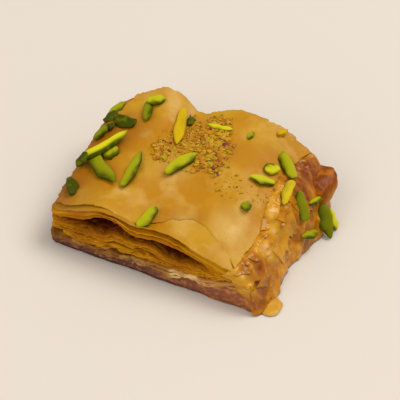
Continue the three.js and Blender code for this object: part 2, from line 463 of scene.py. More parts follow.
crisp, tree, shader, where, edge, tone = new_material("crisp_top")
broad = patchy(tree, where, 60, 0.2, 0.16)
small = patchy(tree, where, 110, 0.14, 0.2)
freckles = patchy(tree, where, 1500, 0.02, 0.06)
# Tones below one half add painted highlights and sheen to the pale patches.
lifted_and_lit = calc(tree, "MULTIPLY_ADD", small, 0.6, fade(tree, tone, 0.5, 0.0), clamped=True)
colour = blend(tree, broad, DEEP_GOLD, GOLD)
colour = blend(tree, lifted_and_lit, colour, PALE_GOLD)
colour = blend(tree, freckles, colour, DEEP_GOLD)
# Tones above one half turn it towards SHADED: painted shade, and the syrup stain round the crumbs.
colour = blend(tree, fade(tree, tone, 0.5, 1.0), colour, SHADED)
colour = blend(tree, fade(tree, edge, 0.9, 1.0, 0.35), colour, TOAST)
surface(tree, shader, where, colour, (broad, 0.46, 0.38), (900, 4, 0.25, 0.15), specular=0.22)

# %% Material of the leaves in the cuts
LEAF = (0.40, 0.138, 0.0005)
LEAF_PALE = (0.62, 0.30, 0.003)
# painted shade deep in the cut, over the darker caramelised inside
DEEP_LEAF_SHADE = (0.10, 0.018, 0.0004)

leafy, tree, shader, where, edge, tone = new_material("crisp_leaves")
broad = patchy(tree, where, 130, 0.18, 0.2)
colour = blend(tree, broad, blend(tree, tone, LEAF, LEAF_PALE), LEAF)
# Where the edge value is low, deep in the cut and in the gapes, the leaves take the darkest colour as painted
# shade.
colour = blend(tree, fade(tree, edge, 0.5, 0.97), DEEP_LEAF_SHADE, colour)
surface(tree, shader, where, colour, (broad, 0.55, 0.45), (1200, 3, 0.3, 0.12), specular=0.08)

# %% Material of the pale crinkled sheets
pale, tree, shader, where, edge, tone = new_material("pale_sheets")
broad = patchy(tree, where, 200, 0.17, 0.2)
# Towards the left end the colours darken: painted shade.
colour = two_ends(tree, broad, tone, left=[(0.22, 0.085, 0.01), (0.48, 0.27, 0.07)],
                  right=[(0.50, 0.24, 0.055), (0.88, 0.63, 0.27)])
surface(tree, shader, where, colour, (broad, 0.5, 0.42), (1000, 4, 0.4, 0.15), specular=0.2)

# %% [markdown]
# ## Soaked pastry and filling
#
# Syrup fills the crumbs of the dough, so wet sheets turn a deeper, clearer amber and shine. A coat over the
# base gives that wet film. The nut layer is dense and dull, brown with a red cast, with paler grains.

# %% Material of the soaked sheets
AMBER = (0.54, 0.205, 0.0005)
RED_BROWN = (0.22, 0.045, 0.002)
HONEY = (0.62, 0.34, 0.02)
PAINTED_HIGHLIGHT = (0.72, 0.42, 0.17)
STAIN = (0.36, 0.10, 0.002)

soaked, tree, shader, where, edge, tone = new_material("soaked_sheets")
broad = patchy(tree, where, 170, 0.17, 0.16)
small = patchy(tree, where, 520, 0.14, 0.12)
blotches = patchy(tree, where, 290, 0.1, 0.14)
# Crests get the clear amber, and the valleys of the folds darker red-brown as painted shade.
clear = calc(tree, "ADD", calc(tree, "MULTIPLY", broad, edge), edge, clamped=True)
colour = blend(tree, clear, RED_BROWN, AMBER)
colour = blend(tree, calc(tree, "MULTIPLY", small, edge), colour, HONEY)
colour = blend(tree, tone, colour, HONEY)
colour = blend(tree, calc(tree, "MULTIPLY", blotches, 0.75), colour, STAIN)
# Tones from 1 to 2 add painted highlights of the wet film.
colour = blend(tree, fade(tree, tone, 1.0, 2.0), colour, PAINTED_HIGHLIGHT)
surface(tree, shader, where, colour, (small, 0.18, 0.36), (600, 4, 0.45, 0.2), specular=0.18,
        coat=0.14, coat_roughness=0.1)

# %% Material of the soaked base
steeped, tree, shader, where, edge, tone = new_material("soaked_base")
broad = patchy(tree, where, 300, 0.17, 0.16)
# Its darker left end is painted shade.
colour = two_ends(tree, broad, edge, left=[(0.06, 0.016, 0.012), (0.12, 0.035, 0.022)],
                  right=[(0.26, 0.075, 0.02), (0.44, 0.16, 0.03)])
colour = blend(tree, tone, colour, HONEY)
surface(tree, shader, where, colour, (broad, 0.3, 0.42), (700, 3, 0.3, 0.2), specular=0.25)

# %% Material of the nut layer
nutty, tree, shader, where, edge, tone = new_material("nut_paste")
flattened = node(tree, "Mapping", {"Vector": where, "Scale": (1.0, 1.0, 2.2)}).outputs[0]
broad = patchy(tree, flattened, 330, 0.17, 0.14)
bits = patchy(tree, where, 900, 0.09, 0.1)
# Towards the right the nut layer is redder; its darker left end is painted shade.
redder_out_of_shade = fade(tree, node(tree, "SeparateXYZ", {0: where}).outputs["X"], -8 * MM, 30 * MM)
colour = two_ends(tree, broad, redder_out_of_shade, left=[(0.09, 0.026, 0.018), (0.25, 0.09, 0.045)],
                  right=[(0.30, 0.09, 0.03), (0.50, 0.19, 0.045)])
colour = blend(tree, calc(tree, "MULTIPLY", bits, 0.6), colour, (0.46, 0.21, 0.06))
surface(tree, shader, where, colour, (broad, 0.42, 0.55), (800, 5, 0.6, 0.35), specular=0.3)

# %% Material of the caramelised lump
caramel, tree, shader, where, edge, tone = new_material("caramel")
broad = patchy(tree, where, 240, 0.17, 0.15)
colour = blend(tree, broad, (0.20, 0.042, 0.001), (0.40, 0.125, 0.002))
colour = blend(tree, tone, colour, (0.50, 0.20, 0.004))
surface(tree, shader, where, colour, (broad, 0.3, 0.42), (500, 2, 0.3, 0.25), specular=0.1,
        coat=0.05, coat_roughness=0.2)

# %% Materials of the nuts and the syrup
pistachio, tree, shader, where, edge, tone = new_material("pistachio")
broad = patchy(tree, where, 420, 0.17, 0.2)
flesh = blend(tree, tone, (0.052, 0.088, 0.0), (0.62, 0.625, 0.012))
flesh = blend(tree, fade(tree, tone, 1.0, 2.0), flesh, (0.58, 0.37, 0.004))
skin = blend(tree, broad, (0.05, 0.065, 0.0003), (0.14, 0.165, 0.0003))
colour = blend(tree, edge, flesh, skin)
surface(tree, shader, where, colour, (broad, 0.42, 0.52), (1100, 3, 0.3, 0.15), specular=0.06)

crumbly, tree, shader, where, edge, tone = new_material("crumbs")
ramp = node(tree, "ValToRGB", {"Fac": tone})
ramp.color_ramp.elements[0].color = (0.34, 0.13, 0.002, 1)
ramp.color_ramp.elements[1].color = (0.38, 0.36, 0.002, 1)
ramp.color_ramp.elements.new(0.5).color = (0.56, 0.27, 0.002, 1)
colour = blend(tree, edge, ramp.outputs["Color"], (0.16, 0.035, 0.015))
mottled = patchy(tree, where, 900, 0.16, 0.1)
surface(tree, shader, where, colour, (mottled, 0.4, 0.6), (1500, 2, 0.4, 0.15), specular=0.3)

syrup, tree, shader, where, edge, tone = new_material("syrup")
mottled = patchy(tree, where, 300, 0.16, 0.2)
colour = blend(tree, mottled, (0.50, 0.20, 0.015), (0.66, 0.34, 0.05))
surface(tree, shader, where, colour, (mottled, 0.06, 0.12), (200, 1, 0.05, 0.1), specular=0.5, coat=0.8)

# %% [markdown]
# ## The slope of the torn end
#
# The right end is one slope from under the top sheet down to the table. Two lines carry it: the top sheet's
# torn edge above and the foot below. Everything inside the piece has to end behind that slope.

# %% The slope
right_edge = edge_line((20.4, -25), (21, -19), (22.2, -12), (21.4, -4), (20.4, 4), (21, 12), (22.4, 20),
                       (24.2, 25.6))
foot_line = through([(-28, 29.6), (-25, 30.9), (-20, 31.6), (-13.6, 31.4), (-5.4, 31.2), (1.3, 33.2),
                     (8.7, 34.6), (16, 34.4), (23, 33.4), (27, 31)])
STEEPNESS = 2.3
TUCK = 1.5  # mm that the slope starts inside the top sheet's ragged edge
PAST_END = 5  # mm that the base and the filling reach past the knife's path, towards the foot


def top_end(y):
    """x of the slope's upper end at a place along y."""
    return right_edge(clamp((y + 25) / 50.6)).x - TUCK


def slope_top(y):
    """z of the same."""
    return crown(top_end(y), y) - 0.5


def slope_point(y, t):
    """x and z of a point of the slope. t is 0 under the top sheet and 1 at the foot."""
    return mix(top_end(y), foot_line(y), t), slope_top(y) * (1 - t ** STEEPNESS) + 0.3 * t


def behind_slope(x, y, z):
    """x, kept 0.8 mm inside the slope at this height."""
    high = slope_top(y)
    t = clamp((high - z) / high) ** (1 / STEEPNESS)
    return min(x, mix(top_end(y), foot_line(y), t) - 0.8)


print(f"at the middle the slope runs from x = {top_end(0):.1f} to x = {foot_line(0):.1f} mm")

# %% [markdown]
# ## The soaked base
#
# The lowest sheets lie in syrup, so they have melted into one dark slab with a wavy edge; towards its left
# end it darkens further with painted shade. It is lofted from rings of the knife's path, and a soft flap of
# it slides out at the front right corner.

# %% The base and its tongue
# Height and inset in mm of each ring of the base's edge
BASE_PROFILE = ((0, 1.5), (0.15, 1.25), (0.5, 1.1), (0.62, 1.3), (0.8, 1.1), (1.2, 1.1), (1.35, 1.4))
TONGUE_X, TONGUE_Y = 30.2, -22.4
TONGUE_HALF_X, TONGUE_HALF_Y = 4.7, 4.1
TONGUE_TURN = -0.63


def base_ring(z, inset):
    def ring(share):
        flat, out = cut(share * ROUND)
        flat.x += PAST_END * smooth(out.x)
        step = inset + 0.24 * uneven(*flat, z, 5, 1) + 0.1 * uneven(*flat, z, 1.6, 1)
        spot = flat - out * step
        return (behind_slope(*spot, z), spot.y - lean(z, out), z)

    return ring


def tongue(u, v):
    """A soft flap of soaked pastry. u runs round it and v outwards."""
    turn, reach = 2 * math.pi * u, v
    x, y = TONGUE_HALF_X * reach * math.cos(turn), TONGUE_HALF_Y * reach * math.sin(turn)
    spread = 1 + 0.10 * uneven(x, y, 0, 3, 4)
    lift = 0.55 * (1 - reach ** 6) + 0.12 * uneven(x, y, 0, 1.8, 5)
    c, s = math.cos(TONGUE_TURN), math.sin(TONGUE_TURN)
    return (TONGUE_X + (x * c - y * s) * spread, TONGUE_Y + (x * s + y * c) * spread, 0.3 + lift), 1.0


bm = new_mesh()
add_loft(bm, 420, [base_ring(z, inset) for z, inset in BASE_PROFILE], tone=0.0)
edge, _ = layers(bm)
# The edge value is the share towards the right end, which the base's material paints out of shade.
for v in bm.verts:
    v[edge] = smooth((v.co.x / MM + 6) / 36)
add_sheet(bm, 40, 12, tongue, tone=0.85)
base = make_piece("soaked_base", bm, steeped)
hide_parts("bottom_sheets")

# %% [markdown]
# ## The nut layer
#
# The filling is pressed so hard that its cut face is nearly smooth, with grains standing a little proud. The
# slab is lofted in fine rings, so that the grains are real bumps and not only bump in the material.

# %% The nut layer
BASE_TOP = 1.25
STEPS = 12


def filling_height(x, y):
    near = smooth((FRONT + 5 - y) / 5)
    return mix(filling_top(x), pale_low(x) + 0.3, near)


def filling_ring(up, inset, shrink=1.0):
    """A ring at a share of the filling's height. Shrunk rings close its top."""
    def ring(share):
        flat, out = cut(share * ROUND)
        z = mix(BASE_TOP, filling_height(*flat), up)
        grains = 0.34 * uneven(*flat, z * 1.5, 2.6, 2) + 0.18 * uneven(*flat, z, 0.9, 3)
        flat.x += PAST_END * smooth(out.x)
        spot = flat - out * (inset - grains)
        spot.x = behind_slope(*spot, z)
        spot *= shrink
        level = z if shrink == 1 else filling_top(spot.x) - 0.3
        return (spot.x, spot.y - lean(z, out) * shrink, level)

    return ring


bm = new_mesh()
rings = [filling_ring(i / STEPS, 0.45 + 0.35 * (2 * i / STEPS - 1) ** 4) for i in range(STEPS + 1)]
rings += [filling_ring(1, 1, share) for share in (0.93, 0.8, 0.5, 0.2)]
add_loft(bm, 470, rings)
paste = make_piece("nut_layer", bm, nutty)
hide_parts("nut_filling")

# %% [markdown]
# ## Bands of leaves
#
# Inside, a sheet can't be seen, so each leaf is a band a few millimetres deep that runs along the three cuts.
# At the corners the bands turn towards an inner rectangle, so that nothing crosses. Neighbouring leaves take
# their waves from nearly the same noise: they lie on each other, touch in places and part in others.

# %% A band along the cuts
AROUND = 430  # columns of a band's grid
UNDER_TORN = THREE_CUTS - 7  # where most bands end at the back, under the torn end


def torn_back(spot, z):
    """The upper leaves' back left corner is torn off, and the back edge has a notch beside the lobe."""
    upper = smooth((z - 7) / 5)
    corner = 3.6 * upper * bell(spot.x - LEFT, 8) * bell(spot.y - BACK, 7)
    notch = 1.7 * upper * bell(spot.x + 11.4, 4) * smooth((spot.y - BACK + 9) / 6)
    return Vector((spot.x + corner, spot.y - corner - notch))


def band(depth, height, inset, start, stop=THREE_CUTS):
    """A placing function for add_sheet: u runs along the cuts, v inwards. height(d, spot, v) is in mm."""
    def place(u, v):
        d = mix(start, stop, u)
        flat, out = cut(d)
        inside = Vector((max(flat.x, LEFT + depth), clamp(flat.y, FRONT + depth, BACK - depth)))
        spot = flat + (inside - flat) * (v + inset(d) / depth)
        z = height(d, spot, v)
        spot = torn_back(spot, z)
        # The edge value falls inwards and where a leaf has drawn back, so that the leaf material paints shade
        # there.
        return (spot.x, spot.y - lean(z, out) * (1 - 0.6 * v), z), (1 - v) * max(0, 1 - 0.13 * inset(d))

    return place


# %% The pale crinkled sheets
PALE_SHEETS = 3


def pale_band(k):
    """Height of one pale sheet. They share half of their scallops, so they touch and cross here and there."""
    def height(d, spot, v):
        front = front_share(d)
        low = mix(filling_top(spot.x), pale_low(spot.x), front)
        top = mix(filling_top(spot.x) + 1.5, pale_top(spot.x), front)
        shared = 0.42 * uneven(*spot, 0, 2.4, 11)
        own = 0.45 * uneven(*spot, 3 * k, 3.1, 12) + 0.16 * uneven(*spot, k, 1.0, 15)
        return mix(low, top, (k + 0.5) / PALE_SHEETS) + (shared + own) * (1 - 0.4 * v)

    return height


def pale_inset(k):
    """How far a pale sheet's edge is behind the knife's path: the highest one stands out like a ledge."""
    behind = 0.5 - 0.2 * k
    return lambda d: behind + 0.4 * uneven(d, 0, 2 * k, 3, 13) + 0.14 * uneven(d, 0, k, 1.2, 14)


bm = new_mesh()
for k in range(PALE_SHEETS):
    add_sheet(bm, AROUND, 6, band(5, pale_band(k), pale_inset(k), start=2.5))
_, shade = layers(bm)
# Tone rises towards the right; the darker left end is painted shade.
for v in bm.verts:
    v[shade] = smooth((v.co.x / MM + 12) / 26)
make_piece("pale_sheets", bm, pale, thickness=0.55)

# %% Heights of the leaves
GAPE = 0.8  # the share of the leaves that lies below the gape
PARTING = 0.47  # the share of those at which they part in a dark line


def parted(share, x):
    """Moves a leaf away from the parting, further at some places than at others."""
    push = 0.12 + 0.08 * uneven(x, 0, 0, 11, 26)
    return share + math.copysign(push * bell(share - PARTING, 0.22), share - PARTING)


def leaf_height(share, seed):
    """Height of the leaf at a share of the pile. On the front it keeps clear of the gape."""
    def height(d, spot, v):
        front = front_share(d)
        if share < GAPE:
            at_front = mix(pale_top(spot.x) + 0.7, gape_low(spot.x) - 0.1, parted(share / GAPE, spot.x))
        else:
            at_front = mix(gape_low(spot.x), lip_low(spot.x) + 0.4, (share - GAPE) / (1 - GAPE))
        at_side = mix(filling_top(spot.x) + 1.7, crown(*spot) - 0.9, share)
        waves = 0.42 * uneven(*spot, 2.4 * seed, 9, 21) + 0.26 * uneven(*spot, 0.9 * seed, 2.6, 22)
        waves += 0.12 * uneven(*spot, seed, 1.1, 27)
        crumpled = smooth((share - 0.6) / 0.2) * gape(spot.x) * front
        waves += crumpled * (0.55 * ridged(*spot, 0.5 * seed, 2.8, 30) ** 2 - 0.3)
        return mix(at_side, at_front, front) + waves

    return height


def leaf_inset(share, seed):
    """How far a leaf's edge is behind the knife's path. In the gape the leaves have drawn back unevenly."""
    def inset(d):
        flat, _ = cut(d)
        ragged = 0.5 + 0.5 * uneven(d, 0, 1.7 * seed, 6, 23) + 0.3 * uneven(d, 0, seed, 1.3, 24)
        chip = 2.8 * max(0.0, uneven(d, 0, 2.9 * seed, 3.5, 25) - 0.5)
        hollow = 3.4 * max(0.0, uneven(d, 0, 1.3 * seed, 8, 28) - 0.3)
        retreat = smooth((share - GAPE + 0.14) / 0.17) * (1 + 0.45 * uneven(d, 0, 3.1 * seed, 3.5, 29))
        drawn = 4.4 * gape(flat.x) * front_share(d) * retreat
        return ragged + chip + hollow + drawn

    return inset


# %% The leaves
LEAVES = 24
FIRST_START, LAST_START = 1.5, 9.5  # the upper leaves start further left, under the torn end
random.seed(5)
for name, numbers in (("lower_leaves", range(0, 13)), ("upper_leaves", range(13, LEAVES))):
    bm = new_mesh()
    for k in numbers:
        share = clamp((k + 0.35 * math.sin(2.4 * k)) / (LEAVES - 1))
        start = mix(FIRST_START, LAST_START, share)
        place = band(6, leaf_height(share, k), leaf_inset(share, k), start, UNDER_TORN)
        add_sheet(bm, AROUND, 6, place, tone=random.random())
    make_piece(name, bm, leafy, thickness=0.2)

# %% [markdown]
# ## The dark inside
#
# Between the leaves one looks into the pile, which is darker inside and lies in shade. A core solid closes
# that view, in the darkest leaf colour as painted shade. It keeps 3 mm behind the cuts, and further where the
# front gapes.

# %% The core
CORE_INSET = 3


def core_ring(up, shrink=1.0):
    """A ring at a share of the core's height. Shrunk rings close its top."""
    def level(spot):
        return mix(filling_top(spot.x) - 0.2, crown(*spot) - 1.3, up)

    def ring(share):
        flat, out = cut(share * ROUND)
        spot = flat - out * (CORE_INSET + 3.5 * gape(flat.x) * smooth(-out.y))
        z = level(spot)
        spot = torn_back(spot, z + 2)
        spot.x = behind_slope(*spot, z + 1)
        spot *= shrink
        return (*spot, level(spot))

    return ring


bm = new_mesh()
rings = [core_ring(up / 8) for up in range(9)]
rings += [core_ring(1, share) for share in (0.9, 0.75, 0.6, 0.45, 0.3, 0.15)]
add_loft(bm, 300, rings)
# A low edge value gives the core the painted shade of the leaf material.
edge, _ = layers(bm)
for v in bm.verts:
    v[edge] = 0.3
make_piece("stack_core", bm, leafy)

# %% [markdown]
# ## The fanned lip
#
# Over the gape, the sheets just under the top bend down and fan apart: from the front they are three golden
# borders, one below the other. Each is a deeper band whose front part folds down to its own border curve.

# %% Folded bands
LIP_DEPTH = 13
LIPS = [  # border, mm under the top, mm of fold, mm behind the path, tone
    (lambda x: mix(lip_low(x), lip_middle(x), 0.04), 1.25, 3.2, 0.35, 0.25),
    (lambda x: mix(lip_low(x), lip_middle(x), 0.5), 0.85, 3.6, 0.1, 0.75),
    (lip_middle, 0.3, 4.6, 0.45, 0.53),
]


def lip_height(border, under, fold, seed):
    """Height of a lip sheet: under mm below the top, and folded down to the border along the front."""
    def height(d, spot, v):
        top = crown(*spot) - under + 0.06 * uneven(*spot, seed, 7, 31)
        flutter = 0.22 * uneven(d, 0, seed, 5, 32) + 0.1 * uneven(d, 0, seed, 1.5, 33)
        low = mix(top - 0.35 * fold, border(spot.x), front_share(d)) + flutter
        away = min(v * LIP_DEPTH / fold, 1)
        blister = 0.7 * bell(spot.x - 10.1, 1.6) * bell(spot.y + 22.9, 1.3)
        return mix(low, top, 1 - (1 - away) ** 2.2) + blister

    return height


def lip_inset(most, seed):
    return lambda d: most + 0.3 * uneven(d, 0, seed, 5, 34) + 0.14 * uneven(d, 0, seed, 1.2, 35)


for name, numbers, material in (("lip_sheets", (0, 1), leafy), ("second_sheet", (2,), crisp)):
    bm = new_mesh()
    for seed in numbers:
        border, under, fold, behind, tone_value = LIPS[seed]
        height = lip_height(border, under, fold, 40 + seed)
        place = band(LIP_DEPTH, height, lip_inset(behind, seed), 7.5, UNDER_TORN)
        add_sheet(bm, AROUND, 30, place, tone=tone_value)
    edge, shade = layers(bm)
    for v in bm.verts:
        v[edge] = 1.0 if material is leafy else 0.0
        # Towards the left the sheet under the crease darkens with painted shade, under the top sheet's
        # overhanging edge.
        if material is crisp:
            v[shade] += 0.24 * smooth((-6 - v.co.x / MM) / 10)
    make_piece(name, bm, material, thickness=0.28)

# %% [markdown]
# ## The top sheet
#
# The topmost sheet covers the piece like a blanket. Its outline has four edges: a front edge that is pulled
# back between the middle and the right corner, a ragged torn edge on the right, a back edge with the lobe and
# the notch, and a plain left one. A patch between four lines (a Coons patch) fills it with a grid.

# %% The four edges, as points of the plan
front_edge = edge_line((-33.6, -24.3), (-29, -25.2), (-24, -24.4), (-19, -23.9), (-13, -24.6), (-8, -23.2),
                       (-4, -20.8), (-1, -18.4), (4, -16.3), (8, -16.5), (13, -19.8), (18, -23), (20.4, -25))
back_edge = edge_line((-30.6, 19.4), (-27.6, 23.4), (-22.6, 26.5), (-16.4, 26.8), (-13.4, 25.8),
                      (-11.2, 24.8), (-8, 24.8), (-4.5, 26.2), (1, 27.2), (9, 27.4), (17, 27.2), (24.2, 25.6))
left_edge = edge_line((-33.6, -24.3), (-34.2, -16), (-34, -6), (-33.6, 4), (-32.6, 12.6), (-30.6, 19.4))


def top_plan(u, v):
    """A point of the plan: u runs from the left edge to the right one, v from the front to the back."""
    between = mix(front_edge(u), back_edge(u), v) + mix(left_edge(v), right_edge(v), u)
    corners = mix(mix(front_edge(0), front_edge(1), u), mix(back_edge(0), back_edge(1), u), v)
    return between - corners


def pulled_back(x):
    """1 along the stretch of the front edge that is pulled back, and 0 beside it."""
    return smooth((x + 5) / 5) * smooth((21 - x) / 3)


# %% Folds, creases and edges of the top sheet
def top_height(x, y, u, v):
    """The crown with the sheet's own relief, a pressed front edge, a crease and curling edges."""
    z = crown(x, y) + 0.05
    z += 0.05 * uneven(x, y, 0, 1.6, 53) + 0.16 * ridged(x, y, 0, 12, 60) ** 9
    z -= 0.31 * (pulled_back(x) * bell(v, 0.03))
    z -= 0.16 * bell(x + 21.9 + 0.3 * (y + 18.2), 0.7) * bell(y + 18.2, 2.6)
    z += 0.5 * smooth((u - 0.94) / 0.06) * (0.4 + 0.6 * uneven(x, y, 0, 6, 54))
    z -= 0.7 * smooth((0.03 - u) / 0.03)
    return z + 0.5 * smooth((v - 0.965) / 0.035) * uneven(x, y, 0, 8, 55)


def top_place(u, v):
    """A ragged place of the top sheet. Its toasted line is 1.6 mm wide, and widens to 5 mm where the front
    edge is pulled back, as painted shade along the crease.
    """
    spot = top_plan(u, v)
    margin = min(min(u, 1 - u) * 55, min(v, 1 - v) * 50)
    fringe = smooth(1 - margin / 3) * mix(1, 1.7, smooth((v - 0.9) / 0.1))
    ragged = fringe * (0.35 * uneven(*spot, 0, 3, 56) + 0.16 * uneven(*spot, 0, 1.1, 57))
    if u > 0.9:
        ragged += smooth((u - 0.9) / 0.1) * 0.9 * uneven(*spot, 0, 4, 58)
    spot = spot + Vector((ragged if u > 0.5 else -ragged, ragged if v > 0.5 else -ragged))
    # Along the pulled-back stretch the darker line is painted shade of the crease.
    soft = pulled_back(spot.x) * bell(v, 0.1)
    return (*spot, top_height(*spot, u, v)), smooth(1 - margin / mix(1.6, 5, soft))


TINTS = [  # x, y, width and strength; paler places are positive, darker ones negative, and several are painted light and shade
    # paler where the sheet has come away from the one below, partly painted sheen
    (-20.5, 23.5, 8, 0.2),
    # painted highlight on the fold at the front right
    (13, -14.5, 4.5, 1.0),
    # darker at the back right
    (17, 16, 8, -0.25),
    # paler again, partly painted sheen
    (-8, -2, 6, 0.5),
    # a syrup stain round the crumbs
    (2.5, 8, 6, -0.4),
    # painted shade on the left part
    (-24, 8, 7, -0.4),
    # painted shade along the crease of the front edge
    (-1, -17.6, 3, -0.5),
    (5, -15.4, 3, -0.5),
]
bm = new_mesh()
add_sheet(bm, 220, 190, top_place)
_, shade = layers(bm)
for v in bm.verts:
    x, y = v.co.x / MM, v.co.y / MM
    # Painted shade on the left front part, plus the tints' painted light and shade
    painted_shade = smooth((-18 - x) / 11) * smooth((18 - y) / 11)
    light = sum(share * bell(x - px, wide) * bell(y - py, wide) for px, py, wide, share in TINTS)
    v[shade] = 0.5 + 0.42 * (painted_shade - light) * (0.8 + 0.3 * uneven(x, y, 0, 6, 59))
top_sheet = make_piece("top_sheet", bm, crisp, thickness=0.26)
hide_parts("flaky_stack")

# %% [markdown]
# ## The torn end
#
# Where the piece was pulled from its neighbour, the sheets end at different lengths and lie on each other
# like wet paper. One skin covers the whole slope and wraps round the front corner, and shorter flaps lie on
# it here and there. They share the skin's folds, so they follow it, and only their ends curl up.

# %% Folds of the wet sheets
FRONT_END, BACK_END, LUMP_START = -27.6, 26.5, 14.0
CORNER_START = -24  # the place along y from which the skin wraps round the front corner


def folds_at(x, y, z):
    """Height of the folds in mm: broad swells, sharp crests and fine crinkles."""
    broad = uneven(0.6 * x, y, 0.5 * z, 7, 61)
    crest = ridged(0.7 * x, y, 0.7 * z, 4.4, 63) ** 2
    crinkle = 0.2 * uneven(0.8 * x, y, z, 1.9, 62) + 0.1 * ridged(x, y, z, 1.2, 66) ** 2
    return 0.6 * broad + 0.7 * (crest - 0.5) + crinkle


def slope_sheet(first, last, length, above, seed):
    """A wet sheet between two places along y. length(y) is the share of the slope that it covers."""
    def place(u, v):
        y = mix(first, last, u)
        t = v * length(y)
        x, z = slope_point(y, t)
        folds = folds_at(x, y, z)
        own = 0.08 * uneven(x, y, z, 3, seed)
        curl = 0.45 * smooth((v - 0.8) / 0.2) * (0.5 + uneven(x, y, 0, 4, seed + 1))
        emerge = smooth(t / 0.22)
        lift = (above + folds + own + (curl if above else 0)) * emerge
        slant = t ** 1.3
        corner = smooth((CORNER_START - y) / 3.6)
        wrapped = (mix(0.3, 2.2, smooth((z - 4) / 4)) + 0.6 * uneven(0, 0, z, 2.2, 65)) * corner ** 4
        x += slant * lift - 0.9 * corner * t - wrapped
        z = max(z + (1 - 0.7 * slant) * lift - 1.6 * (1 - t) * corner ** 2, 0.35)
        front_face = FRONT - lean(z, Vector((0, -1))) - 0.1
        # crest is high on the folds' crests and low in their valleys, where the material paints shade
        crest = smooth((folds + 0.5 * curl + 0.75) / 1.6)
        return (x, mix(y, front_face, corner), z), crest

    return place


# %% The flaps
FLAPS = [  # first and last place along y, share of the slope, mm above the skin, tone
    (-34, -17, 0.3, 0.4, 0.2),
    (-22, -1, 0.6, 0.22, 0.15),
    (-12, 10, 0.3, 0.36, 0.4),
    (-7, 17, 0.5, 0.22, 0.1),
    (-34, -12, 0.72, 0.14, 0.3),
    (0, 15, 0.75, 0.14, 0.35),
    (-15, 5, 0.85, 0.1, 0.5),
]


def flap_length(k, first, last, reach):
    """The length of a flap along y: ragged, running out at both sides, and short above the lump."""
    def length(y):
        sides = smooth((y - first) / 5) * smooth((last - y) / 5)
        ragged = 0.13 * uneven(0, y, 3 * k, 5, 71) + 0.05 * uneven(0, y, k, 1.3, 72)
        above_lump = 1 - 0.6 * smooth((y - LUMP_START) / 4)
        return clamp((reach + ragged) * sides * above_lump, 0.02, 0.95)

    return length


# %% The skin and its flaps, with red spots, painted shade in hollows and painted highlights
# Dark red spots. The first is the syrup's own red and the third the lump's colour beside it; the second and
# the fourth are painted shade in hollows.
RED_AND_SHADED_SPOTS = [  # place along y, share of the slope, width of both, strength
    (-19.0, 0.5, 2.1, 0.2, 0.87),
    (11.0, 0.5, 4.6, 0.4, 0.85),
    (20.0, 0.5, 6.0, 0.5, 1.0),
    (3.0, 0.75, 3.0, 0.25, 0.5),
]
# Painted highlights of the wet film.
PAINTED_HIGHLIGHT_SPOTS = [
    (-13.5, 0.42, 2.3, 0.2, 1.0),
    (-6.5, 0.42, 1.9, 0.11, 0.8),
    (-3.4, 0.25, 1.7, 0.1, 0.8),
    (-0.8, 0.08, 1.7, 0.1, 0.8),
]


def spotted(spots, y, share, frayed):
    """How much a place of the slope belongs to the strongest of some spots with frayed edges."""
    most = max(full * bell(y - sy, wide) * bell(share - st, tall) for sy, st, wide, tall, full in spots)
    return min(most * frayed, 1)


bm = new_mesh()
add_sheet(bm, 220, 60, slope_sheet(FRONT_END, BACK_END, lambda y: 1.0, 0.0, 64), tone=0.12)
for k, (first, last, reach, above, tone_value) in enumerate(FLAPS):
    flap = slope_sheet(max(first, FRONT_END), last, flap_length(k, first, last, reach), above, 81 + 4 * k)
    add_sheet(bm, 90, 26, flap, tone=tone_value)
edge, shade = layers(bm)
for v in bm.verts:
    x, y, z = v.co / MM
    share = (x - top_end(y)) / (foot_line(y) - top_end(y))
    frayed = 1 + 0.5 * uneven(x, y, z, 1.6, 67)
    # red spots, and painted shade in hollows
    red_and_shaded = spotted(RED_AND_SHADED_SPOTS, y, share, frayed)
    # painted highlights
    painted_highlight = spotted(PAINTED_HIGHLIGHT_SPOTS, y, share, frayed)
    low_corner = smooth((CORNER_START - y) / 3) * smooth((5 - z) / 4)
    golden = 0.4 * smooth((CORNER_START + 1 - y) / 3) * smooth((z - 4) / 3)
    v[edge] *= 1 - red_and_shaded
    v[shade] = (mix(v[shade], 2.0, painted_highlight) + golden) * (1 - red_and_shaded) * (1 - 0.5 * low_corner)
make_piece("torn_end", bm, soaked, thickness=0.16)

# %% [markdown]
# ## The caramelised lump
#
# At the back right corner, filling has boiled out and set into a dark, glassy lump. It is a ball whose
# roundness is squared off, then dented by noises of three sizes, so that it has faces and creases.

# %% The lump
LUMP_AT = Vector((28.6, 20.8, 6.9))
LUMP_HALF = Vector((5.4, 6.6, 5.0))
SQUARENESS = 0.6  # 1 keeps the ball, lower is squarer

bm = new_mesh()
bmesh.ops.create_icosphere(bm, subdivisions=6, radius=1)
_, shade = layers(bm)
for v in bm.verts:
    x, y, z = (math.copysign(abs(c) ** SQUARENESS, c) for c in v.co)
    dents = 0.11 * uneven(x, y, z, 0.95, 91) + 0.09 * (ridged(x, y, z, 1.3, 92) - 0.6)
    size = 1 + (dents + 0.025 * uneven(x, y, z, 0.3, 93))
    v[shade] = 0.8 * smooth((x - 0.5) / 0.5) * smooth((0.9 - z) / 0.8)
    v.co = (LUMP_AT + Vector((x * LUMP_HALF.x, y * LUMP_HALF.y, z * LUMP_HALF.z + 0.7 * y)) * size) * MM
make_piece("caramel_lump", bm, caramel)

# %% [markdown]
# ## Where the nuts lie
#
# The nuts fall where they fall, so their places are read off one view of the piece, as spots of a 400 by 400
# frame seen by a camera of known place and lens. A ray through the spot finds the surface under it, so that
# each nut rests on what carries it, seen from any side.

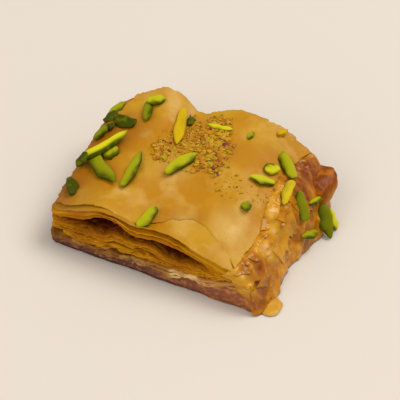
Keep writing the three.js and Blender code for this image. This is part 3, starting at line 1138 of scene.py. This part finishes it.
# %% The viewing camera, as rays
EYE = Vector((103.3, -340.4, 340.0))
ACROSS = Vector((0.8978, 0.4397, 0.0255))
UPWARD = Vector((-0.3104, 0.5907, 0.7448))
BEHIND = Vector((0.3124, -0.6766, 0.6668))
FOCUS = 519.7
HALF_FRAME = 200
RIM_HEIGHT, FOOT_HEIGHT = 15.0, 5.0  # heights in mm for rays that pass beside the top and beside the torn end
FOOT_FROM = 285  # the frame's x from which such a ray is beside the torn end
DROP_FROM = 60  # mm, above the whole piece
MOST_HALF_MM = 20  # how many steps of half a mm a nut beside the piece may move inwards


def tree_of(*names):
    """One search tree over the finished shapes of several pieces, in metres."""
    graph = bpy.context.evaluated_depsgraph_get()
    both = bmesh.new()
    for name in names:
        shape = bpy.data.objects[name].evaluated_get(graph)
        both.from_mesh(shape.to_mesh())
        shape.to_mesh_clear()
    found = BVHTree.FromBMesh(both)
    both.free()
    return found


carriers = tree_of("top_sheet", "second_sheet", "lip_sheets", "torn_end", "caramel_lump", "soaked_base")


def ray_through(px, py):
    return ACROSS * (px - HALF_FRAME) / FOCUS - UPWARD * (py - HALF_FRAME) / FOCUS - BEHIND


def spot_under(px, py):
    """The point in mm, and the normal, of what the camera sees at a spot of its frame."""
    ray = ray_through(px, py)
    hit, normal, _, _ = carriers.ray_cast(EYE * MM, ray.normalized())
    if hit is None:
        height = FOOT_HEIGHT if px > FOOT_FROM else RIM_HEIGHT
        return EYE + ray * ((EYE.z - height) / -ray.z), Vector((0, 0, 1))
    return hit / MM, normal if normal.z > 0 else -normal


def below(spot, tree):
    """What lies straight under a place of the plan, in metres, or nothing."""
    return tree.ray_cast(Vector((spot.x, spot.y, DROP_FROM)) * MM, Vector((0, 0, -1)))[0]


def dropped(spot):
    """The point of the piece straight under a place of the plan, in mm, or nothing."""
    hit = below(spot, carriers)
    return None if hit is None else hit / MM


def carried(a, b):
    """Both ends of a nut on the piece. One that lies beside it moves inwards until the piece carries it."""
    ends = [spot_under(*a)[0].xy, spot_under(*b)[0].xy]
    inwards = -((ends[0] + ends[1]) / 2).normalized()
    for half_mm in range(MOST_HALF_MM):
        spots = [spot + inwards * half_mm / 2 for spot in ends]
        if None not in [dropped(spot - inwards * 0.8) for spot in spots]:
            break
    return [dropped(spot) for spot in spots]


# %% [markdown]
# ## Slivered pistachios
#
# A slivered pistachio is a slice along the kernel. The green skin on its round back fades into the bright
# flesh of the cut faces, and both ends taper. Each is a small ball stretched between two spots, flattened on
# the cut side and bent a bit. It rests on the piece or on the nuts below it, and two lean on the torn end.

# %% One sliver
SKIN_UP = 0.25  # a sliver whose flesh tone is lower turns its skin up


def add_sliver(bm, tip, end, wide, thick, bright, bend, turn, seed):
    """A sliver between two points in mm. turn rolls its cut face about its length. bright is the flesh tone,
    and above 1 the flesh is ripe and yellow."""
    edge, shade = layers(bm)
    along = end - tip
    length = along.length
    along.normalize()
    side = along.cross(Vector((0, 0, 1))).normalized()
    up = side.cross(along)
    side, up = side * math.cos(turn) + up * math.sin(turn), up * math.cos(turn) - side * math.sin(turn)
    pointed = 1 if seed % 2 else -1
    for v in bmesh.ops.create_uvsphere(bm, u_segments=18, v_segments=16, radius=1)["verts"]:
        x, y, z = v.co.z, v.co.x, v.co.y
        blunt = max(1 - x * x, 0.02) ** (-0.03 - 0.16 * pointed * x)
        y, z = y * blunt, z * blunt
        lumpy = uneven(1.4 * x, 0.6 * y, 0.6 * z, 0.8, seed)
        taper = 1 - 0.15 * x * x + 0.28 * lumpy
        flat_top = z - 0.4 * max(z, 0) ** 2
        flat_side = max(y, 0.25 * y - 0.5)
        skin = 1 - smooth(0.6 * z - 0.65 * y + 0.38 + 0.4 * lumpy)
        skin = mix(skin, 1, smooth((SKIN_UP - bright) / 0.15))
        rise = bend * (1 - x * x)
        point = along * (x * length / 2) + side * (flat_side * taper * wide / 2 + rise)
        v.co = ((tip + end) / 2 + point + up * (flat_top * taper * thick * 0.6)) * MM
        v.co.z = max(v.co.z, 0.05 * MM)
        v[edge], v[shade] = skin * min(2 - bright, 1), bright


# %% Where each sliver lies
SLIVERS = [  # two spots of the frame, width and thickness in mm, flesh tone, bend in mm, roll
    ((219.1, 201.8), (226.8, 211.2), 5.0, 2.1, 0.35, 0.4, -0.3),
    ((222.6, 202.6), (227.8, 200.9), 4.2, 1.7, 0.6, 0.2, -0.2),
    ((213.1, 203.5), (227.5, 196.1), 3.8, 1.9, 1.0, 0.3, 0.1),
    ((226.4, 190.6), (232.8, 193.4), 4.9, 2.1, 0.05, 0.8, -0.5),
    ((228.7, 212.2), (234.5, 201.5), 3.7, 1.8, 0.5, 0.3, 0.4),
    ((236.2, 192.3), (236.6, 186.4), 3.0, 1.6, 0.28, 0.3, 0.4),
    ((236.3, 187.2), (242.2, 185.6), 3.4, 1.6, 0.72, -0.4, -0.2),
    ((245.5, 199.4), (247.7, 188.4), 3.5, 1.8, 1.8, -0.3, 0.3),
    ((249.3, 193.4), (250.3, 190.9), 2.4, 1.3, 0.15, 0.0, 0.2),
    ((254.4, 193.1), (262.3, 194.8), 2.2, 1.0, 1.2, 0.2, -0.2),
    ((241.9, 208.5), (251.6, 202.3), 3.8, 1.8, 0.65, -0.3, -0.2),
    ((233.3, 226.2), (239.0, 219.2), 4.3, 2.0, 0.6, 0.2, 0.0),
    ((265.4, 218.8), (268.2, 217.6), 3.7, 1.7, 0.35, 0.1, 0.0),
    ((277.9, 202.1), (281.6, 210.4), 4.4, 2.0, 0.55, 0.2, -0.3),
    ((276.6, 206.6), (272.6, 207.6), 4.2, 2.0, 0.85, 0.0, 0.1),
    ((267.8, 209.3), (275.7, 211.5), 3.3, 1.4, 0.8, 0.1, -0.2),
    ((281.4, 211.2), (278.2, 218.4), 3.3, 1.7, 1.6, 0.2, 0.4),
    ((283.0, 214.2), (284.9, 223.8), 4.0, 1.9, 0.28, 0.2, -0.4),
    ((286.6, 217.9), (289.6, 215.4), 2.8, 1.4, 0.7, 0.1, 0.3),
    ((284.4, 229.6), (288.8, 227.4), 3.0, 1.5, 0.5, 0.1, 0.0),
    ((267.4, 197.4), (269.0, 195.4), 1.8, 1.0, 0.5, 0.0, 0.2),
    ((208.6, 204.6), (211.6, 203.0), 3.5, 1.8, 0.05, 0.1, 0.4),
    ((210.0, 215.5), (210.0, 207.5), 3.8, 1.9, 0.1, 0.2, -0.3),
    ((219.9, 187.6), (224.4, 184.2), 3.2, 1.6, 0.45, 0.1, 0.2),
    ((220.2, 191.6), (224.1, 189.2), 3.2, 1.6, 0.1, 0.2, -0.2),
    ((223.0, 194.6), (226.6, 193.2), 3.1, 1.6, 0.1, 0.1, 0.3),
    ((217.5, 197.2), (221.4, 194.8), 3.1, 1.6, 0.3, 0.1, 0.3),
    ((280.3, 195.5), (282.5, 196.2), 2.4, 1.7, 2.0, 0.0, 0.3),
]
LEANING = [  # the same, from a spot of the piece to a spot of the table beside its foot
    ((290.3, 216.9), (293.1, 227.9), 4.6, 2.2, 0.22, 0.3, -0.4),
    ((292.9, 219.2), (294.9, 225.0), 3.1, 1.5, 1.1, 0.1, 0.2),
]
LEANING_SEED = 40  # the seed of the first of those, past the seeds of the others


def lying(heap, a, b):
    """Both ends of a nut that lies on the piece and on the nuts below it, touching the highest of them."""
    tip, end = carried(a, b)
    spots = [tip.lerp(end, share / 6) for share in range(7)]
    above = [dropped(spot).z for spot in spots]
    for i, spot in enumerate(spots):
        nut = below(spot, heap)
        if nut is not None:
            above[i] = max(above[i], nut.z / MM - 0.3)
    tip.z, end.z = above[0], above[-1]
    lift = max(height - mix(tip.z, end.z, i / 6) for i, height in enumerate(above))
    return tip + Vector((0, 0, lift)), end + Vector((0, 0, lift))


def leaning(a, b, thick):
    """Both ends of a nut that leans with one end against the piece and stands with the other on the table."""
    against, out = spot_under(*a)
    ray = ray_through(*b)
    return against + out * 0.4 * thick, EYE + ray * ((EYE.z - 0.2 * thick) / -ray.z)


bm = new_mesh()
for seed, (a, b, wide, thick, *looks) in enumerate(SLIVERS):
    tip, end = lying(BVHTree.FromBMesh(bm), a, b)
    raised = Vector((0, 0, 0.48 * thick))
    add_sliver(bm, tip + raised, end + raised, wide, thick, *looks, seed)
for seed, (a, b, wide, thick, *looks) in enumerate(LEANING, start=LEANING_SEED):
    tip, end = leaning(a, b, thick)
    print("leans:", [round(c, 1) for c in tip], [round(c, 1) for c in end])
    add_sliver(bm, tip, end, wide, thick, *looks, seed)
make_piece("pistachio_slivers", bm, pistachio)

# %% [markdown]
# ## Crumbs and dust
#
# Ground pistachio lies in six drifts on the top, four thick ones and two thin ones. A crumb is a ball of only
# twenty faces, pushed out of round: there are hundreds of them, so each has to stay cheap. Some are bits of
# the kernel's purple skin.

# %% The crumbs
DRIFTS = [  # middle of the drift and its half size in the frame, how many, smallest and largest radius in mm
    ((256.5, 200.5), (6.8, 8.5), 700, 0.22, 0.85),
    ((259.0, 193.0), (5.0, 3.6), 190, 0.2, 0.75),
    ((240.6, 200.8), (3.4, 3.9), 230, 0.2, 0.75),
    ((249.5, 198.5), (9.5, 9.5), 520, 0.14, 0.6),
    ((262.0, 212.0), (6.0, 5.0), 46, 0.14, 0.4),
    ((272.0, 214.0), (5.0, 4.0), 26, 0.14, 0.45),
]
PURPLE = 0.045  # the share of crumbs that are bits of skin
random.seed(11)
bm = new_mesh()
edge, shade = layers(bm)
for (px, py), (half_x, half_y), count, least, most in DRIFTS:
    for _ in range(count):
        spread, turn = math.sqrt(random.random()) * random.uniform(0.6, 1), random.uniform(0, 2 * math.pi)
        point, out = spot_under(px + half_x * spread * math.cos(turn), py + half_y * spread * math.sin(turn))
        radius = mix(least, most, random.random() ** 3)
        purple, tone_value = float(random.random() < PURPLE), random.random()
        stretch = Vector((random.uniform(0.6, 1.5), random.uniform(0.6, 1.5), random.uniform(0.5, 0.9)))
        for v in bmesh.ops.create_icosphere(bm, subdivisions=1, radius=radius)["verts"]:
            v.co = (point + out * radius * 0.3 + v.co * stretch * random.uniform(0.6, 1.35)) * MM
            v[edge], v[shade] = purple, tone_value
crumbs = make_piece("pistachio_crumbs", bm, crumbly)
crumbs.data.shade_flat()

# %% Beads of syrup
BEADS = [(267.3, 235.3, 0.7), (278.0, 223.4, 0.7), (272.8, 227.0, 0.6)]  # spot of the frame, radius in mm
bm = new_mesh()
for px, py, radius in BEADS:
    point, out = spot_under(px, py)
    for v in bmesh.ops.create_uvsphere(bm, u_segments=16, v_segments=10, radius=radius)["verts"]:
        v.co = (point + out * radius * 0.25 + Vector((v.co.x, v.co.y, 0.75 * v.co.z))) * MM
make_piece("syrup_beads", bm, syrup)

# %% [markdown]
# ## Table, light and camera
#
# A pale warm table and soft light from behind on the right: it grazes the top, so that swells and sheets
# show. The camera stands at the known eye point, and is aimed at the piece.

# %% The table
plain, tree, shader, where, edge, tone = new_material("table")
clouds = patchy(tree, where, 3, 0.16, 0.5)
colour = blend(tree, clouds, (0.68, 0.675, 0.665), (0.70, 0.695, 0.685))
surface(tree, shader, where, colour, (clouds, 0.5, 0.55), (60, 1, 0.02, 0.1), specular=0.2)
bm = bmesh.new()
bmesh.ops.create_grid(bm, x_segments=1, y_segments=1, size=3, matrix=Matrix.Translation((0, 0, -0.05 * MM)))
mesh = bpy.data.meshes.new("table")
bm.to_mesh(mesh)
bm.free()
mesh.materials.append(plain)
table = into_scene("table", mesh)

# %% The light
def add_light(name, place, size, power, colour):
    """A square area light at a place in metres, aimed at the piece."""
    light = bpy.data.lights.new(name, "AREA")
    light.size = size
    light.energy = power
    light.color = colour
    made = into_scene(name, light)
    made.location = place
    made.rotation_euler = (-Vector(place)).to_track_quat("-Z", "Y").to_euler()
    print(f"{name} light: {power} W")


add_light("key", (0.62, 0.78, 1.65), 1.1, 25.0, (1.0, 0.89, 0.76))
add_light("fill", (-0.6, -1.3, 1.1), 1.6, 14.0, (1.0, 0.89, 0.77))
world = bpy.data.worlds.new("room")
world.use_nodes = True
world.node_tree.nodes["Background"].inputs["Color"].default_value = (1.0, 0.9, 0.78, 1)
world.node_tree.nodes["Background"].inputs["Strength"].default_value = 0.5
bpy.context.scene.world = world
bpy.context.scene.view_settings.view_transform = "Standard"

# %% The camera
LENS, SENSOR = 154, 36
AIMED_AT = Vector((0.5, 0.5, 7.0))

camera = into_scene("camera", bpy.data.cameras.new("camera"))
camera.data.lens = LENS
camera.data.sensor_width = SENSOR
camera.data.clip_start = 0.01
camera.location = EYE * MM
aim = (EYE - AIMED_AT).normalized()
side = UPWARD.cross(aim).normalized()
camera.rotation_euler = Matrix((side, aim.cross(side), aim)).transposed().to_euler()
bpy.context.scene.camera = camera
print(f"camera: {LENS} mm lens, {(EYE - AIMED_AT).length:.0f} mm from the piece")
